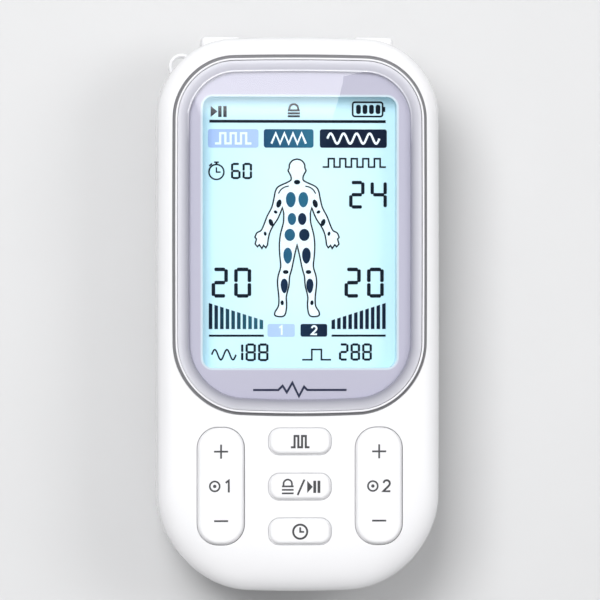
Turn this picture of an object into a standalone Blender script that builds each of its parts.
"""Handheld two-channel TENS unit, lying on its belt clip with its display facing +Z.

+Y is the end with the output jacks and X runs across the case. The origin is on the resting
plane under the middle of the unit. Lengths below are in millimetres; meshes are in metres.
"""

from math import cos, pi, sin, tau

import bmesh
import bpy
from mathutils import Matrix, Vector

MM = 0.001
GAP = 0.3  # between pieces that touch on the real unit
OVERSHOOT = 1.0  # how far a cutter runs past what it cuts

# Case
CASE_HALF_WIDTH = 30.0
CASE_TOP = 57.9
CASE_BOTTOM = -57.6
CASE_TOP_RADIUS = 15.5
CASE_BOTTOM_RADIUS = 19.0
CASE_BULGES = (0.2, 1.2, 1.8)  # sides, top end, bottom end
WALL = 1.8
BACK_Z = 7.6
SPLIT_Z = 16.6
FACE_Z = 28.4
FACE_ROUND = 4.5
FACE_DROP = 5.5  # how much further the face falls away at the bottom end
BACK_ROUND = 4.2
SHELF_UNDER_Z = 24.2
POCKET_FLOOR_Z = 25.6
KEY_ROOF_Z = 26.6
KEY_WELL = (24.2, -23.2, -50.2, 6.0)  # half width, top, bottom and corner radius of the hollow
PEG_PLACE = (24.0, 24.0)  # pegs that carry the board, at each side and end
PEG_RADIUS = 1.5

# Window and display
WINDOW_HALF_WIDTH = 27.1
WINDOW_TOP = 54.6
WINDOW_BOTTOM = -20.6
WINDOW_TOP_RADIUS = 13.0
WINDOW_BOTTOM_RADIUS = 14.5
WINDOW_BULGES = (0.15, 0.6, 1.3)
BEZEL_INSET = 0.6
BEZEL_WIDTH = 0.6
BEZEL_TOP_Z = 28.9
BEZEL_EDGE = 0.25
TAPE_Z = (25.8, 26.1)
LENS_INSET = 1.4
LENS_Z = (26.3, 29.3)
LENS_BEVEL = (1.9, 0.9)  # across and down
VIEW_HALF_WIDTH = 21.4
VIEW_TOP = 47.0
VIEW_BOTTOM = -12.2
VIEW_RADIUS = 2.5
PANEL_HALF_WIDTH = 23.0
PANEL_TOP = 48.6
PANEL_BOTTOM = -14.0
PANEL_Z = (21.6, 23.8)
PANEL_RADIUS = 1.0
FRAME_Z = (18.4, 23.8)
FRAME_MARGIN = 1.8
GUIDE_Z = (18.8, 21.3)
LED_Z = (19.0, 21.0)
LED_HALF_WIDTH = 18.0
LED_DEPTH = (0.2, 1.8)  # from the panel's lower edge
RIBBON_HALF_WIDTH = 8.0
RIBBON_THICKNESS = 0.25
RIBBON_ROUTE = [(-14.6, 22.2), (-17.2, 22.2), (-18.0, 21.4), (-18.0, 17.8), (-18.7, 17.05), (-20.8, 17.05)]

# Keys
KEY_TOP_Z = 28.95
KEY_CLEARANCE = 0.3
KEY_EDGE = [(0.0, 0.45), (0.15, 0.2), (0.6, 0.0)]  # inset and fall of the rounded top edge
FLANGE_Z = (25.2, 26.1)
FLANGE_WIDTH = 1.0
SMALL_KEY_SIZE = (13.0, 5.3)
SMALL_KEY_RADIUS = 2.2
SMALL_KEYS = {"mode": -27.3, "pause": -36.95, "timer": -46.5}
ROCKER_SIZE = (9.7, 24.7)
ROCKER_RADIUS = 4.3
ROCKER_X = 16.9
ROCKER_Y = -36.8
ROCKER_PIVOT_Z = 25.0
ROCKER_POST_REACH = 7.4
POST_RADIUS = 1.2
POST_FOOT_Z = 22.3
CARRIER_Z = (22.6, 23.8)
CARRIER_SHAPE = (24.6, -21.6, -50.4, 7.0)  # half width, top, bottom and corner radius
RIDGE_HALF_WIDTH = 4.4
RIDGE_FOOT = 1.3
RIDGE_CREST = 0.3

# Board and what stands on it
BOARD_Z = (14.9, 16.5)
BOARD_HALF_WIDTH = 26.4
BOARD_TOP = 46.0
BOARD_BOTTOM = -50.7
BOARD_RADII = (6.0, 15.0)
SWITCH_SIZE = 6.0
SWITCH_TOP_Z = 20.0
STEM_RADIUS = 1.4
STEM_Z = (19.2, 22.0)
STEM_EDGE = 0.3

# Components: (x, y) of the centre, size or radius, then a height on the board or a depth under it
CONTROLLER_CHIP = ((0.0, 10.0), (10.0, 10.0), 1.2)
CHARGER_CHIP = ((8.0, -44.0), (4.0, 5.0), 1.3)
BOOST_INDUCTOR = ((8.5, -33.0), (6.0, 6.0), 3.2)
BOOST_CAPACITOR = ((-8.5, -33.0), 3.1, 5.1)
BUZZER = ((-20.4, 37.6), 4.5, 3.4)
BATTERY_PLUG = ((-6.0, 36.2), (6.0, 4.6), 3.4)
TRANSFORMER = ((12.0, -37.5), (11.0, 12.0), 4.4)  # one at each side
TRANSFORMER_NOTCH = (1.3, 7.0, 3.4)

# Output jacks, in the top end
JACK_X = 16.4
JACK_WIDTH = 8.4
JACK_FACE_Y = 59.4
JACK_LENGTH = 8.2
JACK_BORE_RADIUS = 1.8
JACK_BORE_DEPTH = 6.4
JACK_PIN_RADIUS = 0.55
JACK_PIN_RECESS = 0.7
JACK_EDGE = 0.9
SPRING_HALF_WIDTH = 1.0
SPRING_END_Y = 43.6
SPRING_HEIGHT = 0.3

# Charging socket, in the bottom end
USB_HALF_WIDTH = 3.75
USB_Z = (15.2, 17.9)
USB_Y = (-58.9, -51.2)
USB_WALL = 0.3
USB_BACK = 1.0
TONGUE_HALF_WIDTH = 2.4
TONGUE_THICKNESS = 0.7

# Side slide switch
SLIDER_Y = 38.1
SLIDER_TRAVEL = 2.4
SLIDER_Z = 18.8
SLOT_HALF_HEIGHT = 1.4
SLOT_MARGIN = 1.9
KNOB_SIZE = (2.2, 3.0, 2.2)
KNOB_X = 27.7
NECK_X = 26.2
NECK_HALF_WIDTH = (0.7, 0.5)
SWITCH_BASE_X = (25.1, 27.4)
SWITCH_BASE_Z = (16.8, 20.7)
SWITCH_TROUGH = (25.9, 0.8)  # floor and half height of the groove the neck runs in

# Screws
SCREW_X = 8.6
SCREW_TOP_Y = 54.3
SCREW_BOTTOM_Y = -54.3
SCREW_HEAD_RADIUS = 2.2
SCREW_SHANK_RADIUS = 1.1
SCREW_Z = (8.6, 10.2, 21.6)  # head's outer face, its underside, and the tip
SCREW_EDGE = 0.5
SCREW_POINT = 0.8
BOSS_RADIUS = 2.5
REAR_BOSS_RADIUS = 3.2

# Battery
BATTERY_SIZE = (34.0, 52.0, 4.2)
BATTERY_Y = 4.0
BATTERY_Z = 10.2
PAD_HALF_SIZE = (14.0, 22.0)
PAD_Z = (9.6, 10.0)
LEAD_RADIUS = 0.45

# Belt clip
CLIP_HALF_WIDTH = 10.0
CLIP_TAIL_Y = 37.0
CLIP_TIP_Y = -14.4
CLIP_THICKNESS = 2.8
HOOK_Z = 4.0  # where the hooked tip turns up towards the case
CLIP_PIVOT = (28.0, 5.0)  # Y and Z of the pin
CLIP_PIN_RADIUS = 0.8
EAR_RADIUS = 1.8
SHELL_EAR_X = (7.8, 9.6)
CLIP_EAR_X = (5.6, 7.4)
PIN_HOLE_RADIUS = 1.1
COIL_RADIUS = 1.5
COIL_TURNS = 5
COIL_HALF_LENGTH = 3.6
WIRE_RADIUS = 0.28
SPRING_LEGS = (7.0, 8.0)  # on the case and on the clip

# Lanyard eyelet, on the top left corner of the rear shell
EYELET_CENTRE = (-24.9, 53.0)
EYELET_RADII = (3.0, 2.1)
EYELET_Z = (12.6, 15.8)


def clear_scene():
    for old in list(bpy.data.objects):
        bpy.data.objects.remove(old, do_unlink=True)


def material(name, colour, roughness, metallic=0.0):
    made = bpy.data.materials.new(name)
    made.use_nodes = True
    shader = made.node_tree.nodes["Principled BSDF"]
    shader.inputs["Base Color"].default_value = (*colour, 1.0)
    shader.inputs["Roughness"].default_value = roughness
    shader.inputs["Metallic"].default_value = metallic
    return made


# Outlines: lists of (x, y), anticlockwise


def outline(half_width, top, bottom, top_radius, bottom_radius, bulges=(0, 0, 0), steps=6, edge_steps=1):
    """A rounded rectangle whose sides and ends may bow outwards."""
    corners = [
        (half_width - bottom_radius, bottom + bottom_radius, bottom_radius, -pi / 2),
        (half_width - top_radius, top - top_radius, top_radius, 0.0),
        (top_radius - half_width, top - top_radius, top_radius, pi / 2),
        (bottom_radius - half_width, bottom + bottom_radius, bottom_radius, pi),
    ]
    arcs = []
    for x, y, radius, start in corners:
        turn = [start + pi / 2 * step / steps for step in range(steps + 1)]
        arcs.append([(x + radius * cos(angle), y + radius * sin(angle)) for angle in turn])
    points = []
    for index, arc in enumerate(arcs):
        following = arcs[(index + 1) % 4][0]
        points += arc
        for step in range(1, edge_steps):
            share = step / edge_steps
            points.append(tuple(a + (b - a) * share for a, b in zip(arc[-1], following)))
    return [bow(point, half_width, top, bottom, bulges) for point in points]


def bow(point, half_width, top, bottom, bulges):
    """Moves one outline point outwards, most at the middle of its side."""
    x, y = point
    side_bulge, top_bulge, bottom_bulge = bulges
    middle = (top + bottom) / 2
    height = (y - middle) / ((top - bottom) / 2)
    across = x / half_width
    end_bulge = top_bulge if height > 0 else bottom_bulge
    return (
        x + side_bulge * across * (1 - height * height),
        y + end_bulge * height * (1 - across * across),
    )


def case_outline(inset, drop=0.0):
    return outline(
        CASE_HALF_WIDTH - inset,
        CASE_TOP - inset,
        CASE_BOTTOM + inset + drop,
        CASE_TOP_RADIUS - inset,
        CASE_BOTTOM_RADIUS - inset,
        CASE_BULGES,
        steps=8,
        edge_steps=6,
    )


def window_outline(inset):
    return outline(
        WINDOW_HALF_WIDTH - inset,
        WINDOW_TOP - inset,
        WINDOW_BOTTOM + inset,
        WINDOW_TOP_RADIUS - inset,
        WINDOW_BOTTOM_RADIUS - inset,
        WINDOW_BULGES,
        steps=8,
        edge_steps=4,
    )


def rounded_box(half_width, top, bottom, radius, steps=4):
    return outline(half_width, top, bottom, radius, radius, steps=steps)


def key_outline(centre, size, radius, inset):
    x, y = centre
    half_length = size[1] / 2 - inset
    ring = rounded_box(size[0] / 2 - inset, half_length, -half_length, radius - inset)
    return [(x + across, y + along) for across, along in ring]


def circle(centre, radius, segments=16):
    turn = [tau * step / segments for step in range(segments)]
    return [(centre[0] + radius * cos(angle), centre[1] + radius * sin(angle)) for angle in turn]


# Solids: bmesh bodies in millimetres


def loft(sections):
    """A closed body through (outline, z) sections of equal length, lowest first."""
    body = bmesh.new()
    rings = [[body.verts.new((x, y, z)) for x, y in points] for points, z in sections]
    count = len(rings[0])
    for lower, upper in zip(rings, rings[1:]):
        for index in range(count):
            following = (index + 1) % count
            body.faces.new((lower[index], lower[following], upper[following], upper[index]))
    body.faces.new(list(reversed(rings[0])))
    body.faces.new(rings[-1])
    return body


def prism(points, bottom_z, top_z):
    return loft([(points, bottom_z), (points, top_z)])


def block(lower, upper, bevel=0.0):
    points = [(lower[0], lower[1]), (upper[0], lower[1]), (upper[0], upper[1]), (lower[0], upper[1])]
    body = prism(points, lower[2], upper[2])
    if bevel:
        bmesh.ops.bevel(body, geom=body.edges[:], offset=bevel, segments=2, affect="EDGES", profile=0.5)
    return body


def cylinder(centre, radius, bottom_z, top_z, segments=16):
    return prism(circle(centre, radius, segments), bottom_z, top_z)


def tube(centre, radii, span_z, segments=24):
    """A ring with a hole right through, along Z."""
    body = bmesh.new()
    corners = [(radii[0], span_z[0]), (radii[0], span_z[1]), (radii[1], span_z[1]), (radii[1], span_z[0])]
    outlines = [(circle(centre, radius, segments), z) for radius, z in corners]
    rings = [[body.verts.new((x, y, z)) for x, y in points] for points, z in outlines]
    for lower, upper in zip(rings, rings[1:] + rings[:1]):
        for index in range(segments):
            following = (index + 1) % segments
            body.faces.new((lower[index], lower[following], upper[following], upper[index]))
    return body


def turned(body, axis, centre):
    """Turns a body so that its Z runs along the named axis, then moves it."""
    turns = {"X": Matrix.Rotation(pi / 2, 4, "Y"), "Y": Matrix.Rotation(-pi / 2, 4, "X")}
    bmesh.ops.transform(body, matrix=Matrix.Translation(centre) @ turns[axis], verts=body.verts)
    return body


def rod(axis, centre, radius, length, segments=16):
    return turned(cylinder((0, 0), radius, -length / 2, length / 2, segments), axis, centre)


def side_profile(points, left_x, right_x):
    """A body with a (y, z) outline, running from left_x to right_x."""
    body = bmesh.new()
    left = [body.verts.new((left_x, y, z)) for y, z in points]
    right = [body.verts.new((right_x, y, z)) for y, z in points]
    count = len(points)
    for index in range(count):
        following = (index + 1) % count
        body.faces.new((left[index], right[index], right[following], left[following]))
    body.faces.new(left)
    body.faces.new(list(reversed(right)))
    bmesh.ops.recalc_face_normals(body, faces=body.faces)
    return body


# Objects


def place(name, body, finish, origin=(0.0, 0.0, 0.0), smooth_angle=35):
    """Makes an object from a body in unit coordinates, with its own origin at the given point."""
    to_own_metres = Matrix.Scale(MM, 4) @ Matrix.Translation(-Vector(origin))
    bmesh.ops.transform(body, matrix=to_own_metres, verts=body.verts)
    mesh = bpy.data.meshes.new(name)
    body.to_mesh(mesh)
    body.free()
    made = bpy.data.objects.new(name, mesh)
    made.location = Vector(origin) * MM
    bpy.context.scene.collection.objects.link(made)
    if finish:
        mesh.materials.append(finish)
        mesh.shade_smooth()
        mesh.set_sharp_from_angle(angle=smooth_angle * pi / 180)
    return made


def combine(target, body, operation):
    tool = place(f"{target.name}_tool_{len(target.modifiers)}", body, None)
    tool.hide_render = True
    tool.display_type = "WIRE"
    step = target.modifiers.new(operation.lower(), "BOOLEAN")
    step.operation = operation
    step.object = tool
    step.solver = "EXACT"


def cut(target, body):
    combine(target, body, "DIFFERENCE")


def add(target, body):
    combine(target, body, "UNION")


def wire(name, points, radius, finish, sides=2):
    """A round wire through the given points."""
    curve = bpy.data.curves.new(name, "CURVE")
    curve.dimensions = "3D"
    curve.bevel_depth = radius * MM
    curve.bevel_resolution = sides
    curve.use_fill_caps = True
    spline = curve.splines.new("POLY")
    spline.points.add(len(points) - 1)
    for target, point in zip(spline.points, points):
        target.co = (*(Vector(point) * MM), 1.0)
    curve.materials.append(finish)
    made = bpy.data.objects.new(name, curve)
    bpy.context.scene.collection.objects.link(made)
    return made


def smooth_path(points, steps=6):
    """Points along a Catmull-Rom curve through the given ones."""
    knots = [Vector(point) for point in points]
    knots = [2 * knots[0] - knots[1], *knots, 2 * knots[-1] - knots[-2]]
    path = []
    for before, start, end, after in zip(knots, knots[1:], knots[2:], knots[3:]):
        for step in range(steps):
            t = step / steps
            curve = 2 * start + (end - before) * t
            curve += (2 * before - 5 * start + 4 * end - after) * t * t
            curve += (3 * start - before - 3 * end + after) * t**3
            path.append(0.5 * curve)
    path.append(knots[-2])
    return path


def screw_places():
    return [(side * SCREW_X, y) for y in (SCREW_TOP_Y, SCREW_BOTTOM_Y) for side in (-1, 1)]


# Case


def face_sections(offset, lowest_z):
    """Sections of the front half, from its open edge up over the rounded rim of the face."""
    sections = [(case_outline(offset), lowest_z)]
    for step in range(5):
        angle = pi / 2 * step / 4
        fall = 1 - cos(angle)
        rise_z = FACE_Z - FACE_ROUND + FACE_ROUND * sin(angle)
        sections.append((case_outline(offset + FACE_ROUND * fall, FACE_DROP * fall), rise_z))
    return sections


def view_opening():
    return rounded_box(VIEW_HALF_WIDTH, VIEW_TOP, VIEW_BOTTOM, VIEW_RADIUS)


def key_openings():
    openings = [((0, y), SMALL_KEY_SIZE, SMALL_KEY_RADIUS) for y in SMALL_KEYS.values()]
    openings += [((side * ROCKER_X, ROCKER_Y), ROCKER_SIZE, ROCKER_RADIUS) for side in (-1, 1)]
    return [key_outline(*opening, -KEY_CLEARANCE) for opening in openings]


def make_front_shell(finish):
    open_z = SPLIT_Z + GAP / 2
    shell = place("front_shell", loft(face_sections(0.0, open_z)), finish)
    cut(shell, prism(case_outline(WALL), SPLIT_Z - OVERSHOOT, SHELF_UNDER_Z))
    cut(shell, prism(rounded_box(*KEY_WELL), SHELF_UNDER_Z - OVERSHOOT, KEY_ROOF_Z))
    cut(shell, prism(window_outline(0.0), POCKET_FLOOR_Z, FACE_Z + OVERSHOOT))
    cut(shell, prism(view_opening(), SHELF_UNDER_Z - OVERSHOOT, POCKET_FLOOR_Z + OVERSHOOT))
    for opening in key_openings():
        cut(shell, prism(opening, KEY_ROOF_Z - OVERSHOOT, FACE_Z + OVERSHOOT))
    for centre in screw_places():
        add(shell, cylinder(centre, BOSS_RADIUS, open_z, SHELF_UNDER_Z + OVERSHOOT))
        cut(shell, cylinder(centre, SCREW_SHANK_RADIUS + GAP, SPLIT_Z - OVERSHOOT, SCREW_Z[2] + GAP))
    cut_end_openings(shell)
    slot_low = (KNOB_X - GAP, SLIDER_Y - SLOT_MARGIN, SLIDER_Z - SLOT_HALF_HEIGHT)
    slot_high = (
        CASE_HALF_WIDTH + OVERSHOOT,
        SLIDER_Y + SLIDER_TRAVEL + SLOT_MARGIN,
        SLIDER_Z + SLOT_HALF_HEIGHT,
    )
    cut(shell, block(slot_low, slot_high))


def cut_end_openings(shell):
    """Openings for the output jacks and the charging socket, shared by both halves."""
    reach = JACK_WIDTH / 2 + GAP
    for side in (-1, 1):
        low = (side * JACK_X - reach, JACK_FACE_Y - JACK_LENGTH - OVERSHOOT, SPLIT_Z - reach)
        high = (side * JACK_X + reach, JACK_FACE_Y + OVERSHOOT, SPLIT_Z + reach)
        cut(shell, block(low, high))
    low = (-USB_HALF_WIDTH - GAP, CASE_BOTTOM - CASE_BULGES[2] - OVERSHOOT, USB_Z[0] - GAP)
    high = (USB_HALF_WIDTH + GAP, USB_Y[1] + OVERSHOOT, USB_Z[1] + GAP)
    cut(shell, block(low, high))


def back_sections(offset, floor_z, top_z):
    """Sections of the rear half, from its back up round the edge to its open side."""
    sections = []
    for step in range(5):
        angle = pi / 2 * (1 - step / 4)
        inset = offset + BACK_ROUND * (1 - cos(angle))
        sections.append((case_outline(inset), floor_z + BACK_ROUND * (1 - sin(angle))))
    sections.append((case_outline(offset), top_z))
    return sections


def make_rear_shell(finish):
    open_z = SPLIT_Z - GAP / 2
    root_z = BACK_Z + WALL / 2
    shell = place("rear_shell", loft(back_sections(0.0, BACK_Z, open_z)), finish)
    add(shell, tube(EYELET_CENTRE, EYELET_RADII, EYELET_Z))
    cut(shell, loft(back_sections(WALL, BACK_Z + WALL, SPLIT_Z + OVERSHOOT)))
    for centre in screw_places():
        add(shell, cylinder(centre, REAR_BOSS_RADIUS, root_z, open_z))
        cut(shell, cylinder(centre, SCREW_SHANK_RADIUS + GAP, BACK_Z - OVERSHOOT, SPLIT_Z + OVERSHOOT))
        cut(shell, cylinder(centre, SCREW_HEAD_RADIUS + GAP, BACK_Z - OVERSHOOT, SCREW_Z[1] + GAP))
    cut_end_openings(shell)
    for side in (-1, 1):
        add(shell, clip_ear(side, SHELL_EAR_X, root_z))
        for end in (-1, 1):
            centre = (side * PEG_PLACE[0], end * PEG_PLACE[1])
            add(shell, cylinder(centre, PEG_RADIUS, root_z, BOARD_Z[0] - GAP, 12))
    cut(shell, rod("X", (0, *CLIP_PIVOT), PIN_HOLE_RADIUS, 2 * (SHELL_EAR_X[1] + OVERSHOOT)))


def make_bezel_ring(finish):
    sections = [
        (window_outline(BEZEL_INSET), POCKET_FLOOR_Z + GAP),
        (window_outline(BEZEL_INSET), BEZEL_TOP_Z - BEZEL_EDGE),
        (window_outline(BEZEL_INSET + BEZEL_EDGE), BEZEL_TOP_Z),
    ]
    ring = place("bezel_ring", loft(sections), finish)
    inner = window_outline(BEZEL_INSET + BEZEL_WIDTH)
    cut(ring, prism(inner, POCKET_FLOOR_Z - OVERSHOOT, BEZEL_TOP_Z + OVERSHOOT))


def make_window(lens_finish, tape_finish):
    tape = place("window_tape", prism(window_outline(LENS_INSET + 0.2), *TAPE_Z), tape_finish)
    cut(tape, prism(view_opening(), TAPE_Z[0] - OVERSHOOT, TAPE_Z[1] + OVERSHOOT))
    across, down = LENS_BEVEL
    bottom_z, top_z = LENS_Z
    sections = [
        (window_outline(LENS_INSET), bottom_z),
        (window_outline(LENS_INSET), top_z - down),
        (window_outline(LENS_INSET + across * 0.5), top_z - down * 0.3),
        (window_outline(LENS_INSET + across), top_z),
    ]
    place("display_window", loft(sections), lens_finish)


# Display


def panel_outline(grow):
    radius = PANEL_RADIUS + max(grow, 0.0)
    return rounded_box(PANEL_HALF_WIDTH + grow, PANEL_TOP + grow, PANEL_BOTTOM - grow, radius, 2)


def make_display(glass, white, clear, led, film):
    place("lcd_panel", prism(panel_outline(0.0), *PANEL_Z), glass)
    frame = place("lcd_frame", prism(panel_outline(FRAME_MARGIN), *FRAME_Z), white)
    cut(frame, prism(panel_outline(GAP), FRAME_Z[0] - OVERSHOOT, FRAME_Z[1] + OVERSHOOT))
    notch = RIBBON_HALF_WIDTH + 2 * GAP
    notch_low = (-notch, PANEL_BOTTOM - FRAME_MARGIN - OVERSHOOT, PANEL_Z[0] - GAP)
    cut(frame, block(notch_low, (notch, PANEL_BOTTOM + GAP, FRAME_Z[1] + OVERSHOOT)))
    led_low_y, led_high_y = [PANEL_BOTTOM + depth for depth in LED_DEPTH]
    guide_bottom = led_high_y + GAP
    guide = rounded_box(PANEL_HALF_WIDTH - GAP, PANEL_TOP - GAP, guide_bottom, PANEL_RADIUS, 2)
    place("light_guide", prism(guide, *GUIDE_Z), clear)
    strip = block((-LED_HALF_WIDTH, led_low_y, LED_Z[0]), (LED_HALF_WIDTH, led_high_y, LED_Z[1]), 0.2)
    place("backlight_strip", strip, led)
    ribbon = strip_profile(RIBBON_ROUTE, RIBBON_THICKNESS)
    place("lcd_ribbon", side_profile(ribbon, -RIBBON_HALF_WIDTH, RIBBON_HALF_WIDTH), film)


def strip_profile(route, thickness):
    """The (y, z) outline of a thin strip that follows a route, thickened to one side."""
    knots = [Vector(point) for point in route]
    other_side = []
    for index, knot in enumerate(knots):
        along = knots[min(index + 1, len(knots) - 1)] - knots[max(index - 1, 0)]
        along.normalize()
        other_side.append((knot.x + along.y * thickness, knot.y - along.x * thickness))
    return route + other_side[::-1]


# Keys


def key_sections(centre, size, radius):
    sections = [
        (key_outline(centre, size, radius, -FLANGE_WIDTH), FLANGE_Z[0]),
        (key_outline(centre, size, radius, -FLANGE_WIDTH), FLANGE_Z[1]),
        (key_outline(centre, size, radius, 0.0), FLANGE_Z[1]),
    ]
    sections += [(key_outline(centre, size, radius, inset), KEY_TOP_Z - fall) for inset, fall in KEY_EDGE]
    return sections


def key_posts(key, centres):
    for centre in centres:
        add(key, cylinder(centre, POST_RADIUS, POST_FOOT_Z, FLANGE_Z[0] + GAP, 12))


def rocker_posts(side):
    return [(side * ROCKER_X, ROCKER_Y + end * ROCKER_POST_REACH) for end in (1, -1)]


def make_keys(finish):
    for name, y in SMALL_KEYS.items():
        sections = key_sections((0, y), SMALL_KEY_SIZE, SMALL_KEY_RADIUS)
        key = place(f"{name}_key", loft(sections), finish, (0, y, FLANGE_Z[0]))
        key_posts(key, [(0, y)])
    for channel, side in ((1, -1), (2, 1)):
        centre = (side * ROCKER_X, ROCKER_Y)
        sections = key_sections(centre, ROCKER_SIZE, ROCKER_RADIUS)
        key = place(f"channel_{channel}_key", loft(sections), finish, (*centre, ROCKER_PIVOT_Z))
        key_posts(key, rocker_posts(side))


def switch_centres():
    centres = {name: (0, y) for name, y in SMALL_KEYS.items()}
    for channel, side in ((1, -1), (2, 1)):
        plus, minus = rocker_posts(side)
        centres[f"channel_{channel}_plus"] = plus
        centres[f"channel_{channel}_minus"] = minus
    return centres


def make_switches(base_finish, stem_finish):
    half = SWITCH_SIZE / 2
    for name, (x, y) in switch_centres().items():
        body = block((x - half, y - half, BOARD_Z[1] + GAP), (x + half, y + half, SWITCH_TOP_Z), 0.4)
        base = place(f"{name}_switch", body, base_finish)
        cut(base, cylinder((x, y), STEM_RADIUS + GAP, STEM_Z[0] - 2 * GAP, SWITCH_TOP_Z + OVERSHOOT, 12))
        stem = [
            (circle((x, y), STEM_RADIUS, 12), STEM_Z[0]),
            (circle((x, y), STEM_RADIUS, 12), STEM_Z[1] - STEM_EDGE),
            (circle((x, y), STEM_RADIUS - STEM_EDGE, 12), STEM_Z[1]),
        ]
        place(f"{name}_stem", loft(stem), stem_finish, (x, y, STEM_Z[0]))


def make_key_carrier(finish):
    carrier = place("key_carrier", prism(rounded_box(*CARRIER_SHAPE), *CARRIER_Z), finish)
    for centre in switch_centres().values():
        low_z, high_z = CARRIER_Z[0] - OVERSHOOT, CARRIER_Z[1] + OVERSHOOT
        cut(carrier, cylinder(centre, POST_RADIUS + 0.5, low_z, high_z, 12))
    foot_z = CARRIER_Z[1] - GAP
    ridge = [
        (ROCKER_Y - RIDGE_FOOT, foot_z),
        (ROCKER_Y + RIDGE_FOOT, foot_z),
        (ROCKER_Y + RIDGE_CREST, ROCKER_PIVOT_Z),
        (ROCKER_Y - RIDGE_CREST, ROCKER_PIVOT_Z),
    ]
    for side in (-1, 1):
        middle = side * ROCKER_X
        add(carrier, side_profile(ridge, middle - RIDGE_HALF_WIDTH, middle + RIDGE_HALF_WIDTH))


# Board


def make_board(finish):
    points = outline(BOARD_HALF_WIDTH, BOARD_TOP, BOARD_BOTTOM, *BOARD_RADII)
    place("circuit_board", prism(points, *BOARD_Z), finish)


def standing(centre, size, height, edge):
    """A block on the board's upper face."""
    low_z = BOARD_Z[1] + GAP
    low = (centre[0] - size[0] / 2, centre[1] - size[1] / 2, low_z)
    return block(low, (centre[0] + size[0] / 2, centre[1] + size[1] / 2, low_z + height), edge)


def hanging(centre, size, depth, edge):
    """A block under the board's lower face."""
    high_z = BOARD_Z[0] - GAP
    low = (centre[0] - size[0] / 2, centre[1] - size[1] / 2, high_z - depth)
    return block(low, (centre[0] + size[0] / 2, centre[1] + size[1] / 2, high_z), edge)


def make_components(black, ferrite, nylon, blue):
    place("controller_chip", standing(*CONTROLLER_CHIP, 0.15), black)
    place("charger_chip", standing(*CHARGER_CHIP, 0.15), black)
    place("boost_inductor", standing(*BOOST_INDUCTOR, 0.5), ferrite)
    place("battery_plug", hanging(*BATTERY_PLUG, 0.3), nylon)
    centre, radius, height = BOOST_CAPACITOR
    foot_z = BOARD_Z[1] + GAP
    can = [
        (circle(centre, radius), foot_z),
        (circle(centre, radius), foot_z + height - GAP),
        (circle(centre, radius - GAP), foot_z + height),
    ]
    place("boost_capacitor", loft(can), blue)
    centre, radius, depth = BUZZER
    roof_z = BOARD_Z[0] - GAP
    place("buzzer", cylinder(centre, radius, roof_z - depth, roof_z, 24), black)
    make_transformers(ferrite)


def make_transformers(ferrite):
    """Two cores under the board, each notched at both sides where its winding shows."""
    (centre_x, y), size, depth = TRANSFORMER
    notch_depth, notch_length, notch_top = TRANSFORMER_NOTCH
    low_z = BOARD_Z[0] - GAP - depth
    for channel, side in ((1, -1), (2, 1)):
        x = side * centre_x
        core = place(f"pulse_transformer_{channel}", hanging((x, y), size, depth, 0.4), ferrite)
        for edge in (-1, 1):
            near = x + edge * (size[0] / 2 - notch_depth)
            far = x + edge * (size[0] / 2 + OVERSHOOT)
            low = (min(near, far), y - notch_length / 2, low_z - OVERSHOOT)
            cut(core, block(low, (max(near, far), y + notch_length / 2, low_z + notch_top)))


def make_jacks(body_finish, metal):
    half = JACK_WIDTH / 2
    rear_y = JACK_FACE_Y - JACK_LENGTH
    bore_length = JACK_BORE_DEPTH + OVERSHOOT
    bore_y = JACK_FACE_Y + OVERSHOOT - bore_length / 2
    pin_length = JACK_BORE_DEPTH - JACK_PIN_RECESS - GAP
    pin_y = JACK_FACE_Y - JACK_PIN_RECESS - pin_length / 2
    spring_z = BOARD_Z[1] + GAP
    for number, side in ((1, -1), (2, 1)):
        x = side * JACK_X
        body = block((x - half, rear_y, SPLIT_Z - half), (x + half, JACK_FACE_Y, SPLIT_Z + half), JACK_EDGE)
        jack = place(f"output_jack_{number}", body, body_finish)
        cut(jack, rod("Y", (x, bore_y, SPLIT_Z), JACK_BORE_RADIUS, bore_length, 20))
        place(f"jack_pin_{number}", rod("Y", (x, pin_y, SPLIT_Z), JACK_PIN_RADIUS, pin_length, 12), metal)
        spring_low = (x - SPRING_HALF_WIDTH, SPRING_END_Y, spring_z)
        spring_high = (x + SPRING_HALF_WIDTH, rear_y - GAP, spring_z + SPRING_HEIGHT)
        place(f"jack_spring_{number}", block(spring_low, spring_high), metal)


def make_charging_socket(metal, plastic):
    outer_low = (-USB_HALF_WIDTH, USB_Y[0], USB_Z[0])
    shell = place("usb_socket", block(outer_low, (USB_HALF_WIDTH, USB_Y[1], USB_Z[1]), 0.25), metal)
    inner_half = USB_HALF_WIDTH - USB_WALL
    inner_low = (-inner_half, USB_Y[0] - OVERSHOOT, USB_Z[0] + USB_WALL)
    cut(shell, block(inner_low, (inner_half, USB_Y[1] - USB_BACK, USB_Z[1] - USB_WALL)))
    middle_z = (USB_Z[0] + USB_Z[1]) / 2
    half = TONGUE_THICKNESS / 2
    tongue_low = (-TONGUE_HALF_WIDTH, USB_Y[0] + USB_BACK, middle_z - half)
    tongue_high = (TONGUE_HALF_WIDTH, USB_Y[1] - USB_BACK - GAP, middle_z + half)
    place("usb_tongue", block(tongue_low, tongue_high, 0.15), plastic)


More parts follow.
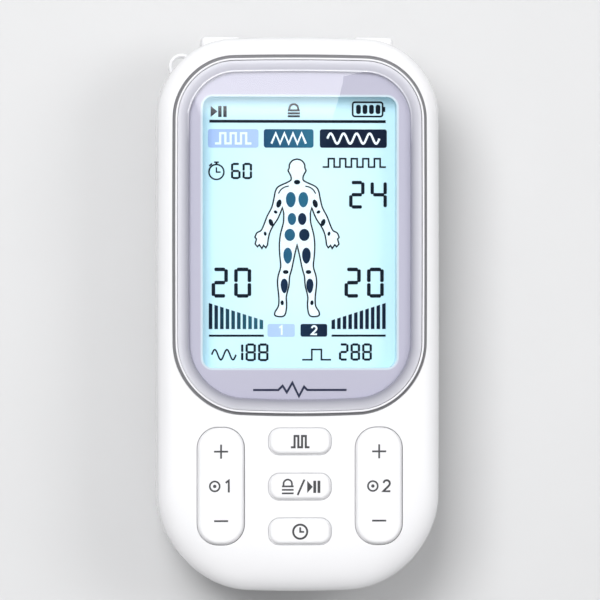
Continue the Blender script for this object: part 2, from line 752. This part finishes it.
def make_power_switch(metal, knob_finish):
    slot = (SLIDER_Y - SLOT_MARGIN, SLIDER_Y + SLIDER_TRAVEL + SLOT_MARGIN)
    base_low = (SWITCH_BASE_X[0], slot[0] - 1.5, SWITCH_BASE_Z[0])
    base_high = (SWITCH_BASE_X[1], slot[1] + 1.5, SWITCH_BASE_Z[1])
    base = place("power_switch", block(base_low, base_high, 0.2), metal)
    floor_x, half = SWITCH_TROUGH
    cut(base, block((floor_x, slot[0], SLIDER_Z - half), (KNOB_X + GAP, slot[1], SLIDER_Z + half)))
    length, width, height = KNOB_SIZE
    knob_low = (KNOB_X, SLIDER_Y - width / 2, SLIDER_Z - height / 2)
    knob_high = (KNOB_X + length, SLIDER_Y + width / 2, SLIDER_Z + height / 2)
    knob = place("power_slider", block(knob_low, knob_high, 0.35), knob_finish)
    half_y, half_z = NECK_HALF_WIDTH
    neck_low = (NECK_X, SLIDER_Y - half_y, SLIDER_Z - half_z)
    add(knob, block(neck_low, (KNOB_X + 0.5, SLIDER_Y + half_y, SLIDER_Z + half_z)))


def make_battery(cell, foam, red, black):
    width, length, thickness = BATTERY_SIZE
    low = (-width / 2, BATTERY_Y - length / 2, BATTERY_Z)
    high = (width / 2, BATTERY_Y + length / 2, BATTERY_Z + thickness)
    place("battery_cell", block(low, high, 1.2), cell)
    half_x, half_y = PAD_HALF_SIZE
    pad_low = (-half_x, BATTERY_Y - half_y, PAD_Z[0])
    place("battery_pad", block(pad_low, (half_x, BATTERY_Y + half_y, PAD_Z[1])), foam)
    cell_y = high[1] + GAP + 0.1
    plug_y = BATTERY_PLUG[0][1] - BATTERY_PLUG[1][1] / 2 - 2 * GAP
    leads = (("red", 4.0, -5.0, 13.4, red), ("black", 1.4, -7.0, 12.0, black))
    for name, start_x, end_x, z, finish in leads:
        route = [
            (start_x, cell_y, z),
            (start_x - 0.6, cell_y + 1.2, z),
            ((start_x + end_x) / 2, cell_y + 1.9, z + 0.1),
            (end_x, cell_y + 2.4, z),
            (end_x, plug_y, z),
        ]
        wire(f"battery_lead_{name}", smooth_path(route), LEAD_RADIUS, finish)


# Fasteners


def make_screws(finish):
    head_bottom, head_top, tip = SCREW_Z
    for number, centre in enumerate(screw_places(), start=1):
        sections = [
            (circle(centre, SCREW_HEAD_RADIUS - SCREW_EDGE), head_bottom),
            (circle(centre, SCREW_HEAD_RADIUS), head_bottom + SCREW_EDGE),
            (circle(centre, SCREW_HEAD_RADIUS), head_top),
            (circle(centre, SCREW_SHANK_RADIUS), head_top),
            (circle(centre, SCREW_SHANK_RADIUS), tip - SCREW_POINT),
            (circle(centre, SCREW_SHANK_RADIUS / 2), tip),
        ]
        place(f"case_screw_{number}", loft(sections), finish)


# Belt clip


def clip_ear(side, span, root_z):
    """A rounded lug round the clip's pin, rising or falling to root_z."""
    pivot_y, pivot_z = CLIP_PIVOT
    away = -1 if root_z > pivot_z else 1
    arc = [pi * step / 8 for step in range(9)]
    points = [(pivot_y + EAR_RADIUS * cos(angle), pivot_z + away * EAR_RADIUS * sin(angle)) for angle in arc]
    points += [(pivot_y - EAR_RADIUS, root_z), (pivot_y + EAR_RADIUS, root_z)]
    lower, upper = sorted(side * x for x in span)
    return side_profile(points, lower, upper)


def make_belt_clip(finish):
    tip, tail = CLIP_TIP_Y, CLIP_TAIL_Y
    hook_top_z = BACK_Z - GAP
    points = [
        (tip + 1.4, 0.0),
        (tail - 1.2, 0.0),
        (tail, 0.9),
        (tail, CLIP_THICKNESS - 0.8),
        (tail - 0.8, CLIP_THICKNESS),
        (tip + 5.2, CLIP_THICKNESS),
        (tip + 3.0, HOOK_Z),
        (tip + 2.4, hook_top_z),
        (tip + 0.9, hook_top_z),
        (tip, HOOK_Z),
        (tip, 1.4),
    ]
    profile = side_profile(points, -CLIP_HALF_WIDTH, CLIP_HALF_WIDTH)
    clip = place("belt_clip", profile, finish, (0, *CLIP_PIVOT))
    for side in (-1, 1):
        add(clip, clip_ear(side, CLIP_EAR_X, CLIP_THICKNESS - 0.5))
    cut(clip, rod("X", (0, *CLIP_PIVOT), PIN_HOLE_RADIUS, 2 * (CLIP_EAR_X[1] + OVERSHOOT)))


def make_clip_pin(finish):
    place("clip_pin", rod("X", (0, *CLIP_PIVOT), CLIP_PIN_RADIUS, 2 * SHELL_EAR_X[1], 12), finish)


def make_clip_spring(finish):
    """A torsion spring round the pin, one leg on the case and one on the clip."""
    pivot_y, pivot_z = CLIP_PIVOT
    points_a_turn = 10
    count = COIL_TURNS * points_a_turn + points_a_turn // 2
    coil = []
    for step in range(count + 1):
        angle = pi / 2 + tau * step / points_a_turn
        x = COIL_HALF_LENGTH * (2 * step / count - 1)
        coil.append((x, pivot_y + COIL_RADIUS * cos(angle), pivot_z + COIL_RADIUS * sin(angle)))
    case_leg = (-COIL_HALF_LENGTH, pivot_y - SPRING_LEGS[0], pivot_z + COIL_RADIUS)
    clip_leg = (COIL_HALF_LENGTH, pivot_y - SPRING_LEGS[1], pivot_z - COIL_RADIUS)
    wire("clip_spring", [case_leg, *coil, clip_leg], WIRE_RADIUS, finish, sides=1)


def build():
    clear_scene()
    white = material("white_gloss_plastic", (0.86, 0.86, 0.87), 0.22)
    key_white = material("key_plastic", (0.88, 0.88, 0.89), 0.3)
    jack_white = material("jack_plastic", (0.8, 0.8, 0.81), 0.35)
    silver = material("bezel_silver", (0.78, 0.78, 0.82), 0.2, 0.6)
    lens = material("window_clear", (0.75, 0.75, 0.86), 0.05)
    tape = material("adhesive_tape", (0.05, 0.05, 0.06), 0.8)
    glass = material("display_glass", (0.62, 0.85, 0.93), 0.1)
    frame_white = material("frame_plastic", (0.8, 0.8, 0.8), 0.5)
    diffuser = material("diffuser", (0.85, 0.92, 0.95), 0.4)
    led = material("led_strip", (0.95, 0.93, 0.75), 0.4)
    film = material("polyimide_film", (0.6, 0.3, 0.06), 0.4)
    laminate = material("board_laminate", (0.02, 0.22, 0.1), 0.4)
    switch_steel = material("switch_steel", (0.6, 0.6, 0.62), 0.3, 0.9)
    stem_black = material("stem_black", (0.02, 0.02, 0.02), 0.5)
    chip_black = material("chip_black", (0.015, 0.015, 0.017), 0.55)
    ferrite = material("ferrite", (0.05, 0.05, 0.055), 0.7)
    connector = material("connector_nylon", (0.82, 0.8, 0.74), 0.5)
    sleeve_blue = material("capacitor_sleeve", (0.02, 0.05, 0.2), 0.35)
    contact = material("contact_metal", (0.75, 0.68, 0.5), 0.25, 1.0)
    steel = material("steel", (0.58, 0.58, 0.6), 0.3, 1.0)
    socket_steel = material("socket_steel", (0.7, 0.7, 0.72), 0.25, 1.0)
    slider_grey = material("slider_plastic", (0.25, 0.25, 0.27), 0.45)
    pouch = material("battery_pouch", (0.5, 0.52, 0.55), 0.35, 0.7)
    foam = material("foam", (0.08, 0.08, 0.08), 0.9)
    red = material("lead_red", (0.5, 0.02, 0.02), 0.4)
    black = material("lead_black", (0.02, 0.02, 0.02), 0.4)
    clip_white = material("clip_plastic", (0.84, 0.84, 0.85), 0.28)
    spring_steel = material("spring_steel", (0.5, 0.5, 0.52), 0.25, 1.0)

    make_front_shell(white)
    make_rear_shell(white)
    make_bezel_ring(silver)
    make_window(lens, tape)
    make_display(glass, frame_white, diffuser, led, film)
    make_keys(key_white)
    make_switches(switch_steel, stem_black)
    make_key_carrier(frame_white)
    make_board(laminate)
    make_components(chip_black, ferrite, connector, sleeve_blue)
    make_jacks(jack_white, contact)
    make_charging_socket(socket_steel, stem_black)
    make_power_switch(switch_steel, slider_grey)
    make_battery(pouch, foam, red, black)
    make_screws(steel)
    make_belt_clip(clip_white)
    make_clip_pin(steel)
    make_clip_spring(spring_steel)


build()
